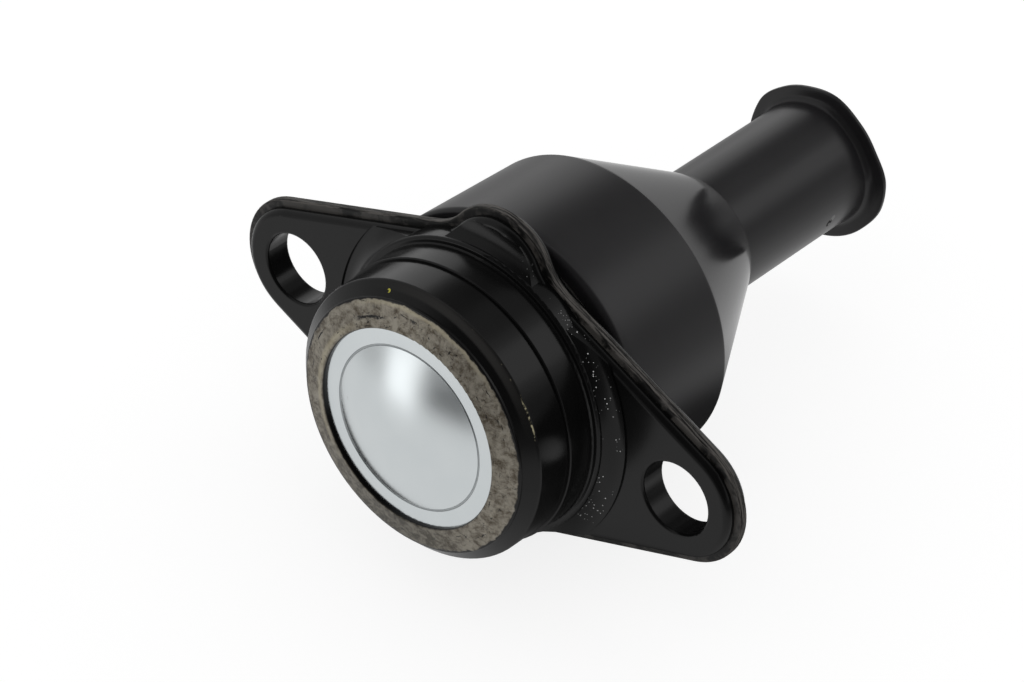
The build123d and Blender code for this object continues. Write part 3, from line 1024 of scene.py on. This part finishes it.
def zinc_plate():
    """Bright zinc on the pressed cover, with fine lines round the dome and painted shade in the
    groove at its foot.
    """
    material, tree, shader, position = new_material("bright zinc on pressed cover")
    place = turned_place(tree, position)
    grain = use_group(tree, GRAIN, Position=position, Grain_scale=3800.0, Cloud_scale=160.0)
    clouds = grain.outputs["Clouds"]
    # The dark line round the dome's foot is painted shade in its groove
    groove_shade = band(tree, place[0], DOME_R + DOME_GROOVE_R, DOME_GROOVE_R, 0.08)
    specks = both(
        tree,
        grain.outputs["Specks"],
        fade(tree, noise(tree, position, 300.0, 2.0), 0.66, 0.70),
    )
    zinc = mix_colour(tree, clouds, ZINC_DARK, ZINC_PALE)
    zinc = mix_colour(tree, calculate(tree, "MULTIPLY", groove_shade, 0.35), zinc, grey(0.10))
    zinc = mix_colour(tree, specks, zinc, grey(0.2, 0.1))
    link(tree, zinc, shader.inputs["Base Color"])
    shader.inputs["Metallic"].default_value = 1.0
    rough = mix_value(tree, clouds, 0.17, 0.25)
    link(tree, mix_value(tree, groove_shade, rough, 0.5), shader.inputs["Roughness"])
    bump(tree, shader, tool_lines(tree, place, 7.0), 0.10, 0.02)
    return material


def moulded_rubber():
    """Black rubber with slow clouds: satin on the wall, glossier on the cone."""
    material, tree, shader, position = new_material("black moulded rubber")
    _, height, _ = turned_place(tree, position)
    grain = use_group(tree, GRAIN, Position=position, Grain_scale=3200.0, Cloud_scale=70.0)
    clouds = grain.outputs["Clouds"]
    cone = fade(tree, height, CREASE_Z - 0.4, CREASE_Z + 0.4)
    link(tree, mix_colour(tree, clouds, RUBBER_DARK, RUBBER_PALE), shader.inputs["Base Color"])
    shader.inputs["Specular IOR Level"].default_value = 0.36
    wall_rough = mix_value(tree, clouds, 0.28, 0.36)
    cone_rough = mix_value(tree, clouds, 0.08, 0.13)
    link(tree, mix_value(tree, cone, wall_rough, cone_rough), shader.inputs["Roughness"])
    cone_relief = calculate(tree, "MULTIPLY", grain.outputs["Height"], 0.3)
    relief = mix_value(tree, cone, grain.outputs["Height"], cone_relief)
    bump(tree, shader, relief, 0.12, 0.03)
    return material


def sleeve_plastic():
    """Satin black tube plastic with faint drawn lines along it and one moulding mark."""
    material, tree, shader, position = new_material("satin black tube plastic")
    grain = use_group(tree, GRAIN, Position=position, Grain_scale=2800.0, Cloud_scale=80.0)
    drawn = noise(tree, stretched(tree, position, (1, 1, 0.04)), 900.0, 3.0, 0.6)
    mark = both(
        tree,
        spot(tree, position, MOULD_MARK, MOULD_MARK_SIZE),
        fade(tree, noise(tree, position, 1100.0, 3.0, 0.6), 0.42, 0.50),
    )
    scuff = both(
        tree,
        spot(tree, position, MOULD_SCUFF, MOULD_SCUFF_SIZE),
        spot(tree, position, MOULD_MARK, MOULD_SCUFF_START, True),
    )
    colour = mix_colour(tree, grain.outputs["Clouds"], TUBE_DARK, TUBE_PALE)
    colour = mix_colour(tree, mark, colour, grey(0.001))
    colour = mix_colour(tree, scuff, colour, grey(0.10))
    link(tree, colour, shader.inputs["Base Color"])
    shader.inputs["Specular IOR Level"].default_value = 0.38
    rough = mix_value(tree, drawn, 0.26, 0.36)
    link(tree, mix_value(tree, mark, rough, 0.8), shader.inputs["Roughness"])
    relief = calculate(tree, "SUBTRACT", drawn, calculate(tree, "MULTIPLY", mark, 12.0))
    bump(tree, shader, relief, 0.15, 0.02)
    return material


def shell_polymer():
    """Natural acetal, creamy and faintly mottled."""
    material, tree, shader, position = new_material("natural acetal")
    grain = use_group(tree, GRAIN, Position=position, Grain_scale=3000.0, Cloud_scale=120.0)
    colour = mix_colour(tree, grain.outputs["Clouds"], ACETAL_DARK, ACETAL_PALE)
    link(tree, colour, shader.inputs["Base Color"])
    link(tree, mix_value(tree, grain.outputs["Height"], 0.3, 0.42), shader.inputs["Roughness"])
    bump(tree, shader, grain.outputs["Height"], 0.1, 0.02)
    return material


def spring_steel():
    """Oiled spring steel with rolled lines along the ring."""
    material, tree, shader, position = new_material("oiled spring steel")
    lines = tool_lines(tree, turned_place(tree, position), 8.0)
    colour = mix_colour(tree, lines, grey(0.30, 0.03), grey(0.58, 0.02))
    link(tree, colour, shader.inputs["Base Color"])
    shader.inputs["Metallic"].default_value = 1.0
    link(tree, mix_value(tree, lines, 0.26, 0.44), shader.inputs["Roughness"])
    bump(tree, shader, lines, 0.15, 0.02)
    return material


def stud_steel():
    """Ground steel on the ball and taper, grey phosphate on the neck, shoulder and thread."""
    material, tree, shader, position = new_material("ground and phosphated stud steel")
    place = turned_place(tree, position)
    height = place[1]
    grain = use_group(tree, GRAIN, Position=position, Grain_scale=3400.0, Cloud_scale=140.0)
    lines = tool_lines(tree, place, 7.0)
    ball = fade(tree, height, BALL_Z + BALL_R - 2.0, BALL_Z + BALL_R - 1.2, 1.0, 0.0)
    taper = band(tree, height, (TAPER_Z + RELIEF_Z) / 2, (RELIEF_Z - TAPER_Z) / 2, 0.15)
    ground = most(tree, ball, taper)
    bright = mix_colour(tree, lines, grey(0.46, 0.02), grey(0.66, 0.01))
    phosphate = mix_colour(tree, grain.outputs["Clouds"], grey(0.075), grey(0.13))
    link(tree, mix_colour(tree, ground, phosphate, bright), shader.inputs["Base Color"])
    link(tree, mix_value(tree, ground, 0.55, 1.0), shader.inputs["Metallic"])
    dull = mix_value(tree, grain.outputs["Height"], 0.44, 0.6)
    link(tree, mix_value(tree, ground, dull, 0.2), shader.inputs["Roughness"])
    relief = mix_value(tree, ground, grain.outputs["Height"], lines)
    bump(tree, shader, relief, 0.15, 0.02)
    return material


def finish_piece(piece, material):
    """Gives a piece this one material."""
    piece.data.materials.clear()
    piece.data.materials.append(material)


# Studio

CAMERA_PLACE = Vector((0.32174, -0.42718, -0.41230))
CAMERA_RIGHT = Vector((0.7596, -0.0923, 0.6439))
CAMERA_DOWN = Vector((0.4535, 0.7848, -0.4225))
CAMERA_FORWARD = Vector((-0.4663, 0.6129, 0.6379))
PHOTO_WIDTH = 1024
FOCAL_PIXELS = 4200
SENSOR_MM = 36.0
CLIP_START = 0.01
LOOK_DOWN_DEG = 40.0

# The floor: its side in metres, its gap under the joint in millimetres, its own grey and glow to
# the camera, and the grey that it throws back on the joint
FLOOR_SIZE = 6.0
FLOOR_GAP = 0.2
FLOOR_GREY = 0.3
FLOOR_GLOW = 0.82
FLOOR_BOUNCE = 0.75

# Brightness of the mirrored floor: close by, off to the left, in the streak of light that crosses
# it there, under the camera and in the shade of the joint
FLOOR_NEAR = 0.74
FLOOR_LEFT = 0.50
FLOOR_STREAK = 1.38
FLOOR_FRONT = 0.15
FLOOR_SHADE = 0.03

# Where those lie: directions on the floor in radians, and distances in metres over which each
# sets in. The streak's direction is given as (middle, half width, softness)
LEFT_START = (0.10, 0.20)
STREAK_SIDE = (0.27, 0.15, 0.09)
STREAK_START = (0.06, 0.17)
FRONT_SIDE = (0.44, 0.64)
FRONT_START = (0.09, 0.26)
SHADE_PLACE = (0.05, 0.02, 0)
SHADE_EDGE = (0.022, 0.058)

# The mirrored room: its level, and soft patches laid one over another, each as (right, up and
# back from the camera, inner and outer half angle in degrees, brightness)
ROOM_LEVEL = 0.55
ROOM_PATCHES = [
    (0.00, 0.00, 1.00, 35, 65, 0.03),
    (0.45, 0.30, -0.80, 18, 34, 1.30),
    (-0.05, 0.80, -0.55, 16, 28, 0.60),
    (0.25, 0.96, -0.05, 10, 24, 0.12),
    (0.54, 0.84, 0.10, 6, 18, 0.30),
    (0.85, 0.50, 0.17, 14, 22, 0.58),
    (1.00, 0.04, 0.05, 6, 14, 0.22),
    (-0.92, -0.18, 0.42, 5, 16, 0.25),
    (-0.94, -0.20, 0.26, 4, 10, 1.25),
]

# The even light that the room gives to dull surfaces
ROOM_FILL = 0.62

# Lamps, each as (name, metres right, up and towards the camera from LAMP_AIM, side in metres,
# watts)
LAMP_AIM = Vector((0, 0, 0.05))
LAMPS = [
    ("soft key", (-0.12, 0.96, -0.72), 0.8, 0.9),
    ("soft fill", (0.85, 0.50, 0.17), 0.4, 0.28),
]


def from_camera(right, up, back):
    """A direction given by the camera's right, its up and back towards it."""
    return CAMERA_RIGHT * right - CAMERA_DOWN * up - CAMERA_FORWARD * back


def place_camera():
    """The camera, at the photo's viewing angle."""
    camera = bpy.data.cameras.new("photo camera")
    camera.sensor_width = SENSOR_MM
    camera.lens = FOCAL_PIXELS / PHOTO_WIDTH * SENSOR_MM
    camera.clip_start = CLIP_START
    holder = bpy.data.objects.new("photo camera", camera)
    bpy.context.scene.collection.objects.link(holder)
    turn = Matrix((CAMERA_RIGHT, -CAMERA_DOWN, -CAMERA_FORWARD)).transposed()
    holder.matrix_world = Matrix.Translation(CAMERA_PLACE) @ turn.to_4x4()
    bpy.context.scene.camera = holder


def floor_axes():
    """The floor's right, away and up, under a camera that looks down at it by LOOK_DOWN_DEG."""
    angle = math.radians(LOOK_DOWN_DEG)
    down = CAMERA_DOWN * math.cos(angle) + CAMERA_FORWARD * math.sin(angle)
    away = CAMERA_FORWARD * math.cos(angle) - CAMERA_DOWN * math.sin(angle)
    return CAMERA_RIGHT.normalized(), away.normalized(), -down.normalized()


def mirrored_floor(tree):
    """How bright the floor looks in a mirror: with a streak to the left, dark under the camera."""
    position = tree.nodes.new("ShaderNodeTexCoord").outputs["Object"]
    x, y, _ = split(tree, position)
    distance = distance_to(tree, position, (0, 0, 0))
    left = calculate(tree, "MULTIPLY", x, -1.0)
    near = calculate(tree, "MULTIPLY", y, -1.0)
    direction = calculate(tree, "ARCTAN2", near, left)
    streak = both(
        tree, band(tree, direction, *STREAK_SIDE), fade(tree, distance, *STREAK_START)
    )
    front = both(tree, fade(tree, direction, *FRONT_SIDE), fade(tree, distance, *FRONT_START))
    lit = fade(tree, distance_to(tree, position, SHADE_PLACE), *SHADE_EDGE)
    level = mix_value(tree, fade(tree, distance, *LEFT_START), FLOOR_NEAR, FLOOR_LEFT)
    level = mix_value(tree, streak, level, FLOOR_STREAK)
    level = mix_value(tree, front, level, FLOOR_FRONT)
    return mix_value(tree, lit, FLOOR_SHADE, level)


def floor_finish():
    """Pale to the camera, patched with light in mirrors, plain to other light, clear from below."""
    material = bpy.data.materials.new("pale floor")
    material.use_nodes = True
    tree = material.node_tree
    tree.nodes.clear()
    out = tree.nodes.new("ShaderNodeOutputMaterial")
    seen = tree.nodes.new("ShaderNodeAddShader")
    link(tree, plain_shader(tree, "ShaderNodeBsdfDiffuse", grey(FLOOR_GREY)), seen.inputs[0])
    link(tree, plain_shader(tree, "ShaderNodeEmission", grey(FLOOR_GLOW)), seen.inputs[1])
    bounce = plain_shader(tree, "ShaderNodeBsdfDiffuse", grey(FLOOR_BOUNCE))
    mirrored = plain_shader(tree, "ShaderNodeEmission", mirrored_floor(tree))
    clear = tree.nodes.new("ShaderNodeBsdfTransparent").outputs[0]

    path = tree.nodes.new("ShaderNodeLightPath").outputs
    shown = most(tree, path["Is Camera Ray"], path["Is Transmission Ray"])
    soft = mix_shader(tree, path["Is Glossy Ray"], bounce, mirrored)
    top = mix_shader(tree, shown, soft, seen.outputs[0])
    below = tree.nodes.new("ShaderNodeNewGeometry").outputs["Backfacing"]
    link(tree, mix_shader(tree, below, top, clear), out.inputs["Surface"])
    return material


def lay_floor():
    """A pale floor that the joint lies on, seen from above only, which keeps a soft shadow."""
    right, away, up = floor_axes()
    reach = max(
        (node.matrix_world @ v.co).dot(-up)
        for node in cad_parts.values()
        for v in node.data.vertices
    )
    deselect_all()
    bpy.ops.mesh.primitive_plane_add(size=FLOOR_SIZE)
    floor = bpy.context.active_object
    floor.name = "floor"
    turn = Matrix((right, away, up)).transposed()
    floor.matrix_world = Matrix.Translation(-up * (reach + FLOOR_GAP * MM)) @ turn.to_4x4()
    floor.data.materials.append(floor_finish())


def light_room():
    """A white room, soft light all round, and the patches that the pieces mirror."""
    world = bpy.data.worlds.new("studio")
    bpy.context.scene.world = world
    world.use_nodes = True
    tree = world.node_tree
    tree.nodes.clear()
    out = tree.nodes.new("ShaderNodeOutputWorld")
    direction = tree.nodes.new("ShaderNodeTexCoord").outputs["Generated"]
    level = ROOM_LEVEL
    for right, up, back, inner, outer, brightness in ROOM_PATCHES:
        along = tree.nodes.new("ShaderNodeVectorMath")
        along.operation = "DOT_PRODUCT"
        link(tree, direction, along.inputs[0])
        along.inputs[1].default_value = from_camera(right, up, back).normalized()
        patch = fade(
            tree,
            along.outputs["Value"],
            math.cos(math.radians(outer)),
            math.cos(math.radians(inner)),
        )
        level = mix_value(tree, patch, level, brightness)
    mirrored = plain_shader(tree, "ShaderNodeBackground", level)
    white = plain_shader(tree, "ShaderNodeBackground", grey(1.0))
    fill = plain_shader(tree, "ShaderNodeBackground", grey(ROOM_FILL))
    path = tree.nodes.new("ShaderNodeLightPath").outputs
    straight = most(tree, path["Is Camera Ray"], path["Is Transmission Ray"])
    on_pieces = mix_shader(tree, path["Is Glossy Ray"], fill, mirrored)
    link(tree, mix_shader(tree, straight, on_pieces, white), out.inputs["Surface"])


def hang_lamp(name, place, size, watts):
    """A soft square lamp, placed by the camera's right, up and back, and aimed at LAMP_AIM."""
    lamp = bpy.data.lights.new(name, "AREA")
    lamp.size = size
    lamp.energy = watts
    holder = bpy.data.objects.new(name, lamp)
    bpy.context.scene.collection.objects.link(holder)
    offset = from_camera(*place)
    holder.location = LAMP_AIM + offset
    holder.rotation_euler = offset.to_track_quat("Z", "Y").to_euler()


# Build

boot_wall = make_boot_wall()
boot_cone = make_boot_cone()
sleeve = make_sleeve()
stud = make_stud()

steel_ring = spring_steel()
NODE_FINISHES = {
    "socket_housing": housing_paint(),
    "cover_plate": zinc_plate(),
    "bearing_shell": shell_polymer(),
    "boot_base_ring": steel_ring,
    "boot_neck_ring": steel_ring,
}
for node_name, node_finish in NODE_FINISHES.items():
    finish_piece(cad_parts[node_name], node_finish)

rubber = moulded_rubber()
for piece in (boot_wall, boot_cone):
    finish_piece(piece, rubber)
    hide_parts("dust_boot")
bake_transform(boot_wall)
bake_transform(boot_cone)

finish_piece(sleeve, sleeve_plastic())
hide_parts("transport_sleeve")
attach(sleeve, "sleeve")

finish_piece(stud, stud_steel())
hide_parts("ball_stud")
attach(stud, "stud")

place_camera()
lay_floor()
light_room()
for lamp_values in LAMPS:
    hang_lamp(*lamp_values)

bpy.context.scene.view_settings.view_transform = "Standard"
